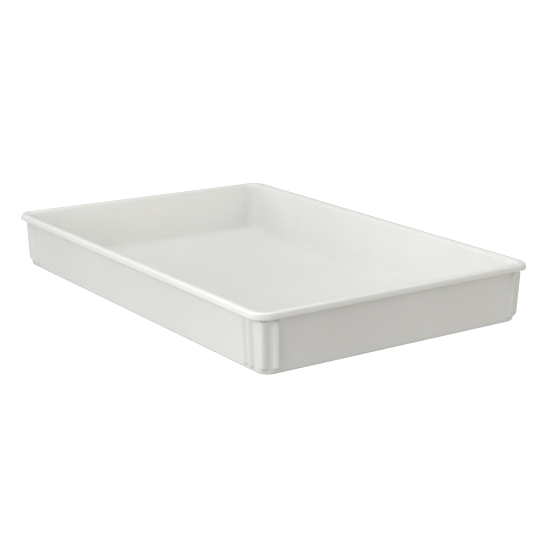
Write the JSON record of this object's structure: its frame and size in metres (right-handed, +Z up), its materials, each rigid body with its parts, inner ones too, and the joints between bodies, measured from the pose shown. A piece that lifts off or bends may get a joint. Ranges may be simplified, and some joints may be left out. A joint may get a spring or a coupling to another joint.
{
  "type": "developing tray",
  "caption": "Deep rectangular white plastic tray with a flat turned-down rim, drafted walls and ribbed corners.",
  "frame": {"origin": "middle of the flat underside that the tray stands on", "axes": "+Z up out of the open side, +Y along the long sides, +X along the short sides"},
  "size_m": [0.458, 0.66, 0.082],
  "materials": {
    "tray_plastic": "satin"
  },
  "bodies": {
    "root": {"tray": "tray_plastic"}
  },
  "joints": []
}
